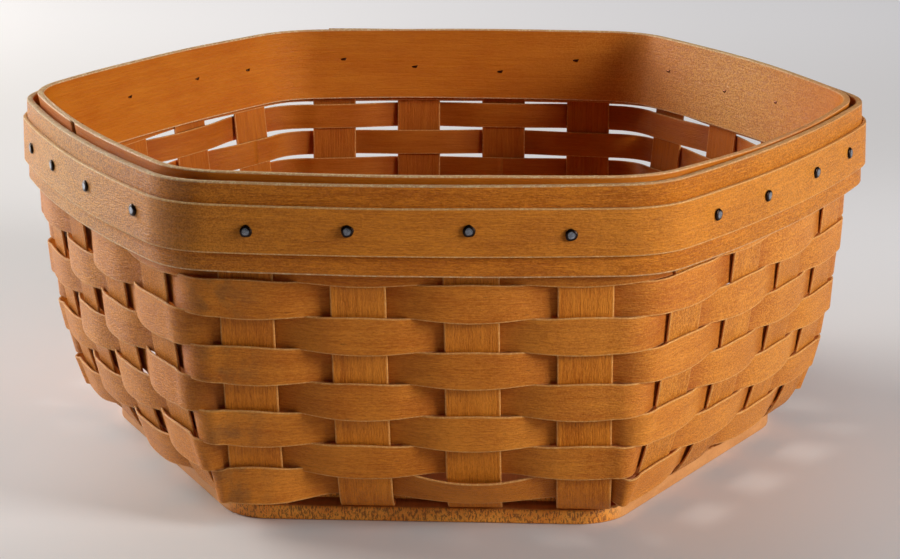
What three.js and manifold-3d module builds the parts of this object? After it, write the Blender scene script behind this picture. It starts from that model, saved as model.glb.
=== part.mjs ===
// Splint basket: an open six-sided basket woven from flat wooden splints on a solid board.
// Millimetres, +Z up. The origin is the middle of the board's underside, and the front side faces -Y.
import * as THREE from 'three';
import Module from 'manifold-3d';
import { mergeVertices } from 'three/addons/utils/BufferGeometryUtils.js';

// Gap left between two pieces that touch on the real basket
const CLEARANCE = 0.3;

// Whole basket
const SIDES = 6;
const HEIGHT = 133; // up to the top of the inner band
const RIM_ACROSS_FLATS = 298.5; // over the outer band, at the middle of two opposite sides
const SIDE_BOW = 7; // how far the middle of a side stands out at the rim
const CORNER_STEPS = 3; // places along each rounded corner

// Base board, grooved round its edge for the feet of the stakes
const BASE_ACROSS_FLATS = 230;
const BASE_CORNER_RADIUS = 21;
const BASE_CORNER_STEPS = 5;
const LIP_THICKNESS = 5.6; // below the groove
const FLOOR_THICKNESS = 4; // above the groove
const FLOOR_SETBACK = 3; // how far the edge above the groove is set back from the lip
const GROOVE_DEPTH = 8;
const EDGE_EASE = 0.8; // chamfer along the board's corners

// Stakes, the upright splints
const STAKES_PER_SIDE = 4;
const STAKE_WIDTH = 19;
const STAKE_THICKNESS = 1.5;
const STAKE_TOP_DROP = 4.5; // below the top of the inner band
const STAKE_CORNER_GAP = 0.8; // from the last stake of a side to the mitre between two sides
const FOOT_LEAN = 80; // degrees from upright at which a stake leaves the board
const FOOT_SWEEP = 15; // how far a stake follows that lean before it turns up
const RIM_SWEEP = 78; // how far down from the rim a stake stays nearly upright
const RIM_LEAN = 3.2; // degrees that a stake leans out at the rim
const STAKE_STEPS = 13;
const STEP_CROWDING = 1.8; // brings the steps of a stake closer together towards its foot

// Weavers, the splints that run round the basket
const WEAVER_ROWS = 8;
const WEAVER_THICKNESS = 1.1;
const WEAVER_GAP = 0.4; // between two rows
const FIRST_ROW_LIFT = 10; // from the board's edge up along the stakes to the lowest row
const TOP_ROW_TUCK = 8; // how much of the top row hides behind the outer band
const WEAVER_BULGE = 0.6; // how far a weaver stands off the middle of a stake
const CORNER_SWELL = 2; // how far a weaver stands out round a corner
const BACK_RISE = 5; // how much higher the rows run at the back than at the front

// Rim bands and the trim strip over the outer one
const INNER_BAND_WIDTH = 30.8;
const INNER_BAND_THICKNESS = 2.4;
const OUTER_BAND_WIDTH = 31;
const OUTER_BAND_THICKNESS = 2.4;
const OUTER_BAND_DROP = 2.8; // below the top of the inner band
const OUTER_LAP_RISE = 2.2; // how far the outer band climbs at its lapped end
const TRIM_WIDTH = 16.4;
const TRIM_THICKNESS = 1.4;
const SCARF_TIP = 0.25; // share of a splint's wood left at the thin end of its lapped joint

// Rim tacks, clinched over on the inside
const TACK_HEAD_DIAMETER = 4.4;
const TACK_HEAD_HEIGHT = 1.1;
const TACK_HEAD_SIDES = 10;
const TACK_SHANK = 1.4;
const TACK_CLINCH = 3.2; // length of the turned-over point
// The tacks are set by eye: how far each one of a side is along from the middle of its stake, side by side
const TACK_NUDGES = [
  [2.5, -2, -0.5, -5.5],
  [4, -1, 0, -4.5],
  [0.5, -6, -6, -3],
  [4, 0, 0.5, -5.5],
  [1.5, -4.5, 1.5, -2],
  [4, -0.5, 0.5, 3.5],
];
// and how far up from the middle of the trim strip
const TACK_LIFTS = [
  [-0.5, 0.5, 1, -0.5],
  [0, 0, 0.5, 1],
  [1, 4.5, 2.5, 4.5],
  [5, -0.5, 1.5, 5],
  [4, 5, 4.5, -1],
  [0, 0.5, 1, 1],
];

const STAKE_WOOD = '#b9773c';
const WEAVER_WOOD = '#bd7d42';
const BAND_WOOD = '#b06c34';
const TRIM_WOOD = '#b87639';
const BOARD_WOOD = '#a96a39';
const WOOD_ROUGHNESS = 0.55;
const TACK_STEEL = '#45474c';
const TACK_ROUGHNESS = 0.45;
const TACK_METALNESS = 0.9;

const wasm = await Module();
wasm.setup();

function solidOf(geometry) {
  const bare = geometry.clone();
  bare.deleteAttribute('normal');
  bare.deleteAttribute('uv');
  const merged = mergeVertices(bare);
  const vertProperties = new Float32Array(merged.attributes.position.array);
  const triVerts = new Uint32Array(merged.index.array);
  return new wasm.Manifold(new wasm.Mesh({ numProp: 3, vertProperties, triVerts }));
}

function geometryOf(solid) {
  const { vertProperties, triVerts } = solid.getMesh();
  const geometry = new THREE.BufferGeometry();
  geometry.setAttribute('position', new THREE.BufferAttribute(vertProperties, 3));
  geometry.setIndex(new THREE.BufferAttribute(triVerts, 1));
  return geometry;
}

// Joins outlines of equally many points into one closed skin, with a fan over the first and the last.
function loft(outlines) {
  const count = outlines[0].length;
  const points = outlines.flat();
  const index = [];
  for (let ring = 0; ring + 1 < outlines.length; ring += 1) {
    for (let k = 0; k < count; k += 1) {
      const a = ring * count + k;
      const b = ring * count + ((k + 1) % count);
      index.push(a, b, b + count, a, b + count, a + count);
    }
  }
  const last = points.length - count;
  for (let k = 1; k + 1 < count; k += 1) {
    index.push(0, k + 1, k, last, last + k, last + k + 1);
  }
  const geometry = new THREE.BufferGeometry().setFromPoints(points);
  geometry.setIndex(index);
  return geometry;
}

// The wall: a stake's middle line in section, x from the basket's axis and y up
const MITRE = Math.tan(Math.PI / SIDES);
const baseApothem = BASE_ACROSS_FLATS / 2;
const grooveHeight = STAKE_THICKNESS + 2 * CLEARANCE;
const foot = new THREE.Vector2(baseApothem, LIP_THICKNESS + grooveHeight / 2);
const rimInset = OUTER_BAND_THICKNESS + CLEARANCE + STAKE_THICKNESS / 2;
const rim = new THREE.Vector2(RIM_ACROSS_FLATS / 2 - rimInset, HEIGHT);
const leaning = (degrees) => new THREE.Vector2(0, 1).rotateAround(
  new THREE.Vector2(),
  -THREE.MathUtils.degToRad(degrees),
);
const wallCurve = new THREE.CubicBezierCurve(
  foot,
  foot.clone().addScaledVector(leaning(FOOT_LEAN), FOOT_SWEEP),
  rim.clone().addScaledVector(leaning(RIM_LEAN), -RIM_SWEEP),
  rim,
);
const wallLength = wallCurve.getLength();

// The wall's section at a length along it from the board's edge; a stake's foot runs in level before that.
function sectionAt(length) {
  if (length < 0) {
    return { middle: new THREE.Vector2(foot.x + length, foot.y), rise: new THREE.Vector2(1, 0) };
  }
  const share = Math.min(length / wallLength, 1);
  return { middle: wallCurve.getPointAt(share), rise: wallCurve.getTangentAt(share) };
}

// Plan of one side: x along the side from its middle, y out from the axis.
function sideReach(apothem) {
  return apothem * MITRE - STAKE_CORNER_GAP;
}

function sidePlan(apothem, along) {
  const half = apothem * MITRE;
  const reach = sideReach(apothem);
  const x = THREE.MathUtils.clamp(along, -reach, reach);
  const swell = THREE.MathUtils.clamp((apothem - foot.x) / (rim.x - foot.x), 0, 1);
  const bow = SIDE_BOW * swell;
  const slope = (-2 * bow * x) / half ** 2;
  return {
    point: new THREE.Vector2(x, apothem - bow * (x / half) ** 2),
    normal: new THREE.Vector2(-slope, 1).normalize(),
  };
}

// Plan of the rounded corner after a side, from the edge of its last stake (turn 0) to the next one (turn 1).
function cornerPlan(apothem, turn) {
  const start = sidePlan(apothem, stakeReach);
  const way = new THREE.Vector2(start.normal.y, -start.normal.x);
  const run = (start.point.y * MITRE - start.point.x) / (way.x - way.y * MITRE);
  const apex = start.point.clone().addScaledVector(way, run);
  const mitre = new THREE.Vector2(MITRE, 1).normalize();
  const end = mitre.clone().multiplyScalar(2 * start.point.dot(mitre)).sub(start.point);
  const curve = new THREE.QuadraticBezierCurve(start.point, apex, end);
  const tangent = curve.getTangent(turn);
  return { point: curve.getPoint(turn), normal: new THREE.Vector2(-tangent.y, tangent.x) };
}

// A point of the wall with its directions: out is level, rise runs up the wall, normal is square to the wall.
function wallAt(place, length) {
  const { middle, rise } = sectionAt(length);
  const onCorner = place.turn !== undefined;
  const plan = onCorner ? cornerPlan(middle.x, place.turn) : sidePlan(middle.x, place.along);
  const angle = (place.side * 2 * Math.PI) / SIDES;
  const level = (v) => new THREE.Vector3(
    v.x * Math.cos(angle) + v.y * Math.sin(angle),
    v.x * Math.sin(angle) - v.y * Math.cos(angle),
    0,
  );
  const up = new THREE.Vector3(0, 0, 1);
  const out = level(plan.normal);
  return {
    point: level(plan.point).setZ(middle.y),
    out,
    across: level(new THREE.Vector2(plan.normal.y, -plan.normal.x)),
    rise: out.clone().multiplyScalar(rise.x).addScaledVector(up, rise.y),
    normal: out.clone().multiplyScalar(rise.y).addScaledVector(up, -rise.x),
    apothem: middle.x,
  };
}

// Stakes stand evenly along the base's sides, the outer ones reaching to its mitres.
const stakePitch = (BASE_ACROSS_FLATS * MITRE - STAKE_WIDTH) / (STAKES_PER_SIDE - 1);
const stakeAlong = (number) => (number - (STAKES_PER_SIDE - 1) / 2) * stakePitch;
const stakeReach = stakeAlong(STAKES_PER_SIDE - 1) + STAKE_WIDTH / 2;

// Places once round the basket: both edges and the middle of each stake, and the rounded corners.
function placesRound() {
  const places = [];
  for (let side = 0; side < SIDES; side += 1) {
    for (let number = 0; number < STAKES_PER_SIDE; number += 1) {
      const stake = side * STAKES_PER_SIDE + number;
      for (const edge of [-1, 0, 1]) {
        const along = stakeAlong(number) + (edge * STAKE_WIDTH) / 2;
        places.push({ side, stake, edge, along });
      }
    }
    for (let step = 1; step <= CORNER_STEPS; step += 1) {
      const stake = (side + 1) * STAKES_PER_SIDE - 1;
      places.push({ side, stake, turn: step / (CORNER_STEPS + 1) });
    }
  }
  return places;
}

const weaverPlaces = placesRound();
const bandPlaces = weaverPlaces.filter((place) => place.edge !== 0);

// A splint once round, its ends thinned and lapped over the given number of places.
function lappedRing(places, first, lap, thickness, outlineAt) {
  const wood = thickness - CLEARANCE;
  const cut = (share) => wood * (SCARF_TIP + share * (1 - 2 * SCARF_TIP)) - thickness / 2;
  const outlines = [];
  for (let step = 0; step <= places.length + lap; step += 1) {
    const past = step - places.length;
    const inner = past < 0 ? -thickness / 2 : cut(past / lap) + CLEARANCE;
    const outer = step > lap ? thickness / 2 : cut(step / lap);
    const place = places[(first + step) % places.length];
    outlines.push(outlineAt(place, inner, outer, Math.max(0, past / lap)));
  }
  return loft(outlines.reverse());
}

// Four corners of a splint's cross-section between two lines of points, each with its own way out.
function splintOutline(low, high, inner, outer) {
  return [
    low.point.clone().addScaledVector(low.way, inner),
    low.point.clone().addScaledVector(low.way, outer),
    high.point.clone().addScaledVector(high.way, outer),
    high.point.clone().addScaledVector(high.way, inner),
  ];
}

// Lengths along the wall, from the board's edge up, and level gaps between stakes and bands
const outerTop = wallLength - OUTER_BAND_DROP;
const outerBottom = outerTop - OUTER_BAND_WIDTH;
const innerBottom = wallLength - INNER_BAND_WIDTH;
const trimBottom = (outerTop + outerBottom - TRIM_WIDTH) / 2;
const trimMiddle = trimBottom + TRIM_WIDTH / 2;
const weaverPitch = (outerBottom + TOP_ROW_TUCK - FIRST_ROW_LIFT) / WEAVER_ROWS;
const weaverWidth = weaverPitch - WEAVER_GAP;
const weaversTop = outerBottom + TOP_ROW_TUCK - WEAVER_GAP + BACK_RISE;
const stakeFace = STAKE_THICKNESS / 2 + CLEARANCE;

// The bands lie against the stakes at the rim and open downwards, to let in the top weaver.
function bandGap(length) {
  const opening = WEAVER_THICKNESS + CLEARANCE;
  return stakeFace + (opening * (wallLength - length)) / (wallLength - weaversTop);
}

const outerBandGap = (length) => bandGap(length) + OUTER_BAND_THICKNESS / 2;
const innerBandGap = (length) => -bandGap(length) - INNER_BAND_THICKNESS / 2;
const outerBandFace = (length) => bandGap(length) + OUTER_BAND_THICKNESS + CLEARANCE;
const trimGap = (length) => outerBandFace(length) + TRIM_THICKNESS / 2;

function bandGeometry({ bottom, top, thickness, gap, lapSide, lapRise = 0 }) {
  const lap = 2 * STAKES_PER_SIDE - 1;
  const perSide = bandPlaces.length / SIDES;
  const line = (place, length, climb) => {
    const wall = wallAt(place, length);
    const point = wall.point.clone().addScaledVector(wall.out, gap(length));
    return { point: point.addScaledVector(wall.rise, climb), way: wall.out };
  };
  return lappedRing(bandPlaces, lapSide * perSide, lap, thickness, (place, inner, outer, past) => {
    const climb = past * lapRise;
    return splintOutline(line(place, bottom, climb), line(place, top, climb), inner, outer);
  });
}

const weaverLength = (row) => FIRST_ROW_LIFT + weaverPitch * row + weaverWidth / 2;

// How far the rows have climbed at a place, from nothing in the middle of the front side
function rowRise(place) {
  const edge = STAKE_WIDTH / 2 / stakePitch;
  const step = place.turn === undefined ? place.edge * edge : edge + place.turn * (1 - 2 * edge);
  const passed = place.stake + step - (STAKES_PER_SIDE - 1) / 2;
  return (BACK_RISE * (1 - Math.cos((2 * Math.PI * passed) / (SIDES * STAKES_PER_SIDE)))) / 2;
}

// How far the wall curls in, at the edges of a weaver that lies flat against it at a length.
function wallCrown(length) {
  const { middle, rise } = sectionAt(length);
  const curl = [-1, 1].map((end) => {
    const edge = sectionAt(length + (end * weaverWidth) / 2).middle.sub(middle);
    return edge.y * rise.x - edge.x * rise.y;
  });
  return Math.max(...curl);
}

// The top row lies flat, because the bands hold it.
const underBands = (row) => row + 1 === WEAVER_ROWS;

// How far a weaver's middle stands off the wall where it passes a stake, in front or behind.
function weaverStandOff(row, stake, edge, length) {
  const bulge = edge === 0 && !underBands(row) ? WEAVER_BULGE : 0;
  const clear = stakeFace + WEAVER_THICKNESS / 2 + bulge;
  const inFront = (stake + row) % 2 === 0;
  return inFront ? clear : -clear - wallCrown(length);
}

function weaverGeometry(row, lapSide) {
  const firstStake = lapSide * STAKES_PER_SIDE + ((row + 1) % 2);
  const first = weaverPlaces.findIndex((place) => place.stake === firstStake && place.edge === 0);
  const lap = weaverPlaces.findIndex((place) => place.stake === firstStake + 2 && place.edge === 0) - first;
  return lappedRing(weaverPlaces, first, lap, WEAVER_THICKNESS, (place, inner, outer) => {
    const length = weaverLength(row) + rowRise(place);
    const wall = wallAt(place, length);
    let standOff = weaverStandOff(row, place.stake, place.edge, length);
    if (place.turn !== undefined) {
      const next = weaverStandOff(row, place.stake + 1, 1, length);
      standOff = THREE.MathUtils.lerp(standOff, next, (1 - Math.cos(Math.PI * place.turn)) / 2);
      standOff += underBands(row) ? 0 : CORNER_SWELL * Math.sin(Math.PI * place.turn);
    }
    const middle = wall.point.clone().addScaledVector(wall.normal, standOff);
    const edgeLine = (side) => ({
      point: middle.clone().addScaledVector(wall.rise, (side * weaverWidth) / 2),
      way: wall.normal,
    });
    return splintOutline(edgeLine(-1), edgeLine(1), inner, outer);
  });
}

function stakeGeometry(side, number) {
  const along = stakeAlong(number);
  const top = wallLength - STAKE_TOP_DROP;
  const lengths = [CLEARANCE - GROOVE_DEPTH];
  for (let step = 0; step <= STAKE_STEPS; step += 1) {
    lengths.push(top * (step / STAKE_STEPS) ** STEP_CROWDING);
  }
  return loft(lengths.map((length) => {
    const wall = wallAt({ side, along }, length);
    const reach = sideReach(wall.apothem);
    const edgeLine = (end) => {
      const edge = THREE.MathUtils.clamp(along + (end * STAKE_WIDTH) / 2, -reach, reach);
      return { point: wall.point.clone().addScaledVector(wall.across, edge - along), way: wall.normal };
    };
    return splintOutline(edgeLine(-1), edgeLine(1), -STAKE_THICKNESS / 2, STAKE_THICKNESS / 2);
  }));
}

// Outline of the board at one height, with its corners rounded
function boardOutline(apothem, height) {
  const inset = baseApothem - apothem;
  const radius = BASE_CORNER_RADIUS - inset;
  const centre = (baseApothem - BASE_CORNER_RADIUS) / Math.cos(Math.PI / SIDES);
  const points = [];
  for (let corner = 0; corner < SIDES; corner += 1) {
    const middle = (corner * 2 * Math.PI) / SIDES;
    for (let step = 0; step <= BASE_CORNER_STEPS; step += 1) {
      const angle = middle + (step / BASE_CORNER_STEPS - 0.5) * ((2 * Math.PI) / SIDES);
      points.push(new THREE.Vector3(
        centre * Math.cos(middle) + radius * Math.cos(angle),
        centre * Math.sin(middle) + radius * Math.sin(angle),
        height,
      ));
    }
  }
  return points;
}

function boardGeometry() {
  const grooveApothem = baseApothem - GROOVE_DEPTH;
  const floorApothem = baseApothem - FLOOR_SETBACK;
  const grooveTop = LIP_THICKNESS + grooveHeight;
  const top = grooveTop + FLOOR_THICKNESS;
  return loft([
    boardOutline(baseApothem - EDGE_EASE, 0),
    boardOutline(baseApothem, EDGE_EASE),
    boardOutline(baseApothem, LIP_THICKNESS - EDGE_EASE),
    boardOutline(baseApothem - EDGE_EASE, LIP_THICKNESS),
    boardOutline(grooveApothem, LIP_THICKNESS),
    boardOutline(grooveApothem, grooveTop),
    boardOutline(floorApothem, grooveTop),
    boardOutline(floorApothem, top - EDGE_EASE),
    boardOutline(floorApothem - EDGE_EASE, top),
  ]);
}

// A tack's own number from its side's row; the row starts over on a side with more stakes.
function ofTack(rows, side, number) {
  const row = rows[side % rows.length];
  return row[number % row.length];
}

const tackLength = (side, number) => trimMiddle + ofTack(TACK_LIFTS, side, number);
const trimFace = (length) => outerBandFace(length) + TRIM_THICKNESS;

// Where a tack goes through the rim: z is out along the tack, y up, and 0 is the outside of the trim strip.
function tackFrame(side, number) {
  const length = tackLength(side, number);
  const along = stakeAlong(number) + ofTack(TACK_NUDGES, side, number);
  const wall = wallAt({ side, along }, length);
  const seat = wall.point.clone().addScaledVector(wall.out, trimFace(length));
  const frame = new THREE.Matrix4().makeBasis(wall.across, new THREE.Vector3(0, 0, 1), wall.out);
  return frame.setPosition(seat);
}

// Thickness of the whole rim, from the outside of the trim strip to the inside of the inner band
const rimStack = (length) => trimFace(length) + bandGap(length) + INNER_BAND_THICKNESS;

function tackGeometry(stack) {
  const shankEnd = -stack - CLEARANCE - TACK_SHANK;
  const shankTop = CLEARANCE + TACK_HEAD_HEIGHT / 2;
  const shank = new THREE.BoxGeometry(TACK_SHANK, TACK_SHANK, shankTop - shankEnd);
  shank.translate(0, 0, (shankTop + shankEnd) / 2);
  const point = new THREE.BoxGeometry(TACK_CLINCH, TACK_SHANK, TACK_SHANK);
  point.translate((TACK_CLINCH - TACK_SHANK) / 2, 0, shankEnd + TACK_SHANK / 2);
  const radius = TACK_HEAD_DIAMETER / 2;
  const head = new THREE.LatheGeometry([
    new THREE.Vector2(0, 0),
    new THREE.Vector2(radius, 0),
    new THREE.Vector2(radius, TACK_HEAD_HEIGHT / 3),
    new THREE.Vector2(radius / 2, TACK_HEAD_HEIGHT),
    new THREE.Vector2(0, TACK_HEAD_HEIGHT),
  ], TACK_HEAD_SIDES);
  head.rotateX(Math.PI / 2);
  head.translate(0, 0, CLEARANCE);
  return geometryOf(solidOf(head).add(solidOf(shank)).add(solidOf(point)));
}

function tackHole(side, number) {
  const across = TACK_SHANK + 2 * CLEARANCE;
  const stack = rimStack(tackLength(side, number));
  const hole = new THREE.BoxGeometry(across, across, 2 * stack);
  hole.translate(0, 0, -stack / 2);
  return solidOf(hole.applyMatrix4(tackFrame(side, number)));
}

const basket = new THREE.Group();

function addPiece(name, geometry, color, roughness = WOOD_ROUGHNESS, metalness = 0) {
  const mesh = new THREE.Mesh(geometry, new THREE.MeshStandardMaterial({ color, roughness, metalness }));
  mesh.name = name;
  basket.add(mesh);
  return mesh;
}

const numbered = (name, number) => `${name}_${String(number + 1).padStart(2, '0')}`;

addPiece('base_board', boardGeometry(), BOARD_WOOD);

const holes = [];
for (let side = 0; side < SIDES; side += 1) {
  for (let number = 0; number < STAKES_PER_SIDE; number += 1) {
    const stake = side * STAKES_PER_SIDE + number;
    const hole = tackHole(side, number);
    holes.push(hole);
    const drilled = solidOf(stakeGeometry(side, number)).subtract(hole);
    addPiece(numbered('stake', stake), geometryOf(drilled), STAKE_WOOD);
    const tack = tackGeometry(rimStack(tackLength(side, number)));
    const nailed = addPiece(numbered('tack', stake), tack, TACK_STEEL, TACK_ROUGHNESS, TACK_METALNESS);
    nailed.applyMatrix4(tackFrame(side, number));
  }
}

// The weavers' laps are kept to the back side and its two neighbours, a different one from row to row.
const backSide = Math.floor(SIDES / 2);
const lapSides = [backSide - 1, backSide, backSide + 1];
for (let row = 0; row < WEAVER_ROWS; row += 1) {
  const lapSide = lapSides[row % lapSides.length];
  addPiece(`weaver_${row + 1}`, weaverGeometry(row, lapSide), WEAVER_WOOD);
}

const bands = {
  inner_band: {
    bottom: innerBottom,
    top: wallLength,
    thickness: INNER_BAND_THICKNESS,
    gap: innerBandGap,
    lapSide: SIDES - 1,
    color: BAND_WOOD,
  },
  outer_band: {
    bottom: outerBottom,
    top: outerTop,
    thickness: OUTER_BAND_THICKNESS,
    gap: outerBandGap,
    lapSide: backSide,
    lapRise: OUTER_LAP_RISE,
    color: BAND_WOOD,
  },
  trim_strip: {
    bottom: trimBottom,
    top: trimBottom + TRIM_WIDTH,
    thickness: TRIM_THICKNESS,
    gap: trimGap,
    lapSide: backSide - 1,
    color: TRIM_WOOD,
  },
};
for (const [name, band] of Object.entries(bands)) {
  const drilled = holes.reduce((solid, hole) => solid.subtract(hole), solidOf(bandGeometry(band)));
  addPiece(name, geometryOf(drilled), band.color);
}

export default basket;
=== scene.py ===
"""Splint basket: an open six-sided basket woven from flat wooden splints on a solid board.

Sizes are millimetres, and each mesh is turned to metres as it is made.
"""
import math

import bpy
import numpy as np
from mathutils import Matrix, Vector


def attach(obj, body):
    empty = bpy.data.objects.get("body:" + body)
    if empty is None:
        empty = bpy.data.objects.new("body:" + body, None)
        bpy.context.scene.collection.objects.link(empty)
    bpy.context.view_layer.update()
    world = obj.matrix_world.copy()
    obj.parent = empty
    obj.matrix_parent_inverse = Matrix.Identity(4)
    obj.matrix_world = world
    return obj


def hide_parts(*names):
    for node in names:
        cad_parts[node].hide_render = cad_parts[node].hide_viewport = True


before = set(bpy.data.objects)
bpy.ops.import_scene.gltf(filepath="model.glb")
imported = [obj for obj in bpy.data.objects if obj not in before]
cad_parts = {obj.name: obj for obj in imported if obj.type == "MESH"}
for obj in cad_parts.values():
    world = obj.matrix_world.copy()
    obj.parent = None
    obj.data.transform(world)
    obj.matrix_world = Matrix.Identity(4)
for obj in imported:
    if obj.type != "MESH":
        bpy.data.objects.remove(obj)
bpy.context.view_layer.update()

# Base board: one sawn hardwood board, a hexagon with rounded corners and eased edges.
# A groove round its edge holds the feet of the uprights, so a thin lip shows below them.
# Its grain runs from front to back, which leaves end grain on the front edge.
SIDES = 6
SIDE_TURN = 2 * math.pi / SIDES
MITRE = math.tan(math.pi / SIDES)
BOARD_APOTHEM = 115.0
BOARD_CORNER = 21.0
LIP_THICKNESS = 5.6
GROOVE_HEIGHT = 2.1
GROOVE_DEPTH = 8.0
FLOOR_THICKNESS = 4.0
FLOOR_SETBACK = 3.0
BOARD_EASE = 0.8


class Wire:
    """A shader socket. Arithmetic on wires adds the Math nodes that work it out."""

    def __init__(self, tree, socket=None):
        self.tree = tree
        self.socket = socket

    def node(self, kind, settings=None, values=None, out=0):
        """Adds a node, with its settings first and then its sockets' values or links."""
        made = self.tree.nodes.new("ShaderNode" + kind)
        for name, setting in (settings or {}).items():
            setattr(made, name, setting)
        for name, value in (values or {}).items():
            if isinstance(value, Wire):
                self.tree.links.new(value.socket, made.inputs[name])
            else:
                made.inputs[name].default_value = value
        return Wire(self.tree, made.outputs[out])

    def maths(self, operation, *terms):
        return self.node("Math", {"operation": operation}, dict(enumerate(terms)))

    def __add__(self, other):
        return self.maths("ADD", self, other)

    def __sub__(self, other):
        return self.maths("SUBTRACT", self, other)

    def __rsub__(self, other):
        return self.maths("SUBTRACT", other, self)

    def __mul__(self, other):
        return self.maths("MULTIPLY", self, other)

    def between(self, low, high):
        """0 at low, 1 at high, and smooth from one to the other."""
        return self.node(
            "MapRange",
            {"interpolation_type": "SMOOTHSTEP"},
            {"Value": self, "From Min": low, "From Max": high},
        )

    def mixed(self, first, second):
        """From the first colour to the second, by this wire."""
        return self.node("Mix", {"data_type": "RGBA"}, {0: self, 6: first, 7: second}, 2)

    def axis(self, name):
        """One part of this vector."""
        return self.node("SeparateXYZ", values={0: self}, out=name)

    def bump(self, strength, distance):
        """The surface's normal, with this wire as its height."""
        return self.node("Bump", values={"Strength": strength, "Distance": distance, "Height": self})

    def mark(self, name):
        """A mark that the mesh carries on its points."""
        return self.node("Attribute", {"attribute_name": name}, out="Fac")

    def noise(self, x, y, z, detail=3.0, rough=0.55):
        spot = self.node("CombineXYZ", values={"X": x, "Y": y, "Z": z})
        values = {"Vector": spot, "Scale": 1.0, "Detail": detail, "Roughness": rough}
        return self.node("TexNoise", values=values)


def paint(red, green, blue):
    """A colour as it is seen, in 0 to 255, as the linear one that a shader takes."""
    seen = [channel / 255 for channel in (red, green, blue)]
    return tuple(c / 12.92 if c <= 0.04045 else ((c + 0.055) / 1.055) ** 2.4 for c in seen) + (1.0,)


def new_finish(name, **uniform):
    """A material, the wire to build it with, and a function that joins wires to its shader."""
    finish = bpy.data.materials.new(name)
    finish.use_nodes = True
    tree = finish.node_tree
    shader = tree.nodes["Principled BSDF"]
    for socket, value in uniform.items():
        shader.inputs[socket.replace("_", " ")].default_value = value

    def join(**wires):
        for socket, wire in wires.items():
            tree.links.new(wire.socket, shader.inputs[socket.replace("_", " ")])

    return finish, Wire(tree), join


def add_piece(name, points, faces, finish, node, grain=None, marks=None):
    """Makes a piece that stands for a solid, with a face-corner grain map and point marks."""
    mesh = bpy.data.meshes.new(name)
    mesh.from_pydata((np.asarray(points) / 1000).tolist(), [], faces)
    if grain is not None:
        grain_map = mesh.uv_layers.new(name="grain")
        grain_map.data.foreach_set("uv", np.asarray(grain, np.float32).ravel())
    for mark, values in (marks or {}).items():
        attribute = mesh.attributes.new(mark, "FLOAT", "POINT")
        attribute.data.foreach_set("value", np.asarray(values, np.float32))
    mesh.polygons.foreach_set("use_smooth", [True] * len(faces))
    mesh.materials.append(finish)
    mesh.validate()
    piece = bpy.data.objects.new(name, mesh)
    bpy.context.scene.collection.objects.link(piece)
    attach(piece, "root")
    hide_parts(node)


def board_outline(inset, height, steps=10):
    """The board's outline at a height, drawn in by an inset."""
    points = []
    radius = BOARD_CORNER - inset
    centre = (BOARD_APOTHEM - BOARD_CORNER) / math.cos(SIDE_TURN / 2)
    for corner in range(SIDES):
        middle = corner * SIDE_TURN
        for step in range(steps + 1):
            angle = middle + (step / steps - 0.5) * SIDE_TURN
            points.append((
                centre * math.cos(middle) + radius * math.cos(angle),
                centre * math.sin(middle) + radius * math.sin(angle),
                height,
            ))
    return points


def eased(inset, height, turn_out, turn_up, steps=3):
    """Outlines round one long edge of the board, as (inset, height)."""
    angles = [math.pi / 2 * step / steps for step in range(steps + 1)]
    return [
        (inset + BOARD_EASE * (1 - math.sin(a)), height + turn_up * BOARD_EASE * (1 - math.cos(a)))
        for a in (angles if turn_out else angles[::-1])
    ]


groove_top = LIP_THICKNESS + GROOVE_HEIGHT
board_top = groove_top + FLOOR_THICKNESS
board_profile = (
    eased(0, 0, True, 1)
    + eased(0, LIP_THICKNESS, False, -1)
    + [(GROOVE_DEPTH, LIP_THICKNESS), (GROOVE_DEPTH, groove_top), (FLOOR_SETBACK, groove_top)]
    + eased(FLOOR_SETBACK, board_top, False, -1)
)
board_rings = [board_outline(inset, height) for inset, height in board_profile]
ring_size = len(board_rings[0])
board_faces = [
    (i * ring_size + k, i * ring_size + (k + 1) % ring_size,
     (i + 1) * ring_size + (k + 1) % ring_size, (i + 1) * ring_size + k)
    for i in range(len(board_rings) - 1)
    for k in range(ring_size)
]
board_faces.append(tuple(reversed(range(ring_size))))
board_faces.append(tuple(range((len(board_rings) - 1) * ring_size, len(board_rings) * ring_size)))

board_wood, wire, join = new_finish("board_wood")
spot = wire.node("TexCoord", out="Object")
across, back, up = (spot.axis(name) * 1000 for name in "XYZ")
facing = wire.node("NewGeometry", out="Normal").axis("Y")
end_grain_lit = facing.maths("ABSOLUTE", facing).between(0.55, 0.9)
rings = wire.noise(across * 0.12, back * 0.004, up * 0.25, 3)
fibre = wire.noise(across * 1.6, back * 0.03, up * 1.6, 4)
pores = wire.noise(across * 1.5, back * 0.05, up * 0.6, 3, 0.75).between(0.5, 0.57)
tone = rings * 0.9 + fibre * 0.7 - 0.3
# Partly grain colour and partly painted light: the end grain on the front is made brighter to make up for
# the weave's shadow over it, and the long grain of the side lips is made darker as painted shade.
long_wood_shaded = tone.between(0.2, 0.8).mixed(paint(192, 126, 64), paint(216, 150, 86))
end_wood_lit = tone.between(0.2, 0.8).mixed(paint(232, 136, 34), paint(252, 172, 62))
wood = end_grain_lit.mixed(long_wood_shaded, end_wood_lit)
wood = (end_grain_lit * pores * 0.7).mixed(wood, paint(96, 38, 8))
join(
    Base_Color=wood,
    Roughness=fibre * 0.2 + 0.42,
    Normal=(fibre - pores * end_grain_lit).bump(0.25, 0.0003),
)
board_points = [point for ring in board_rings for point in ring]
add_piece("board", board_points, board_faces, board_wood, "base_board")

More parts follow.
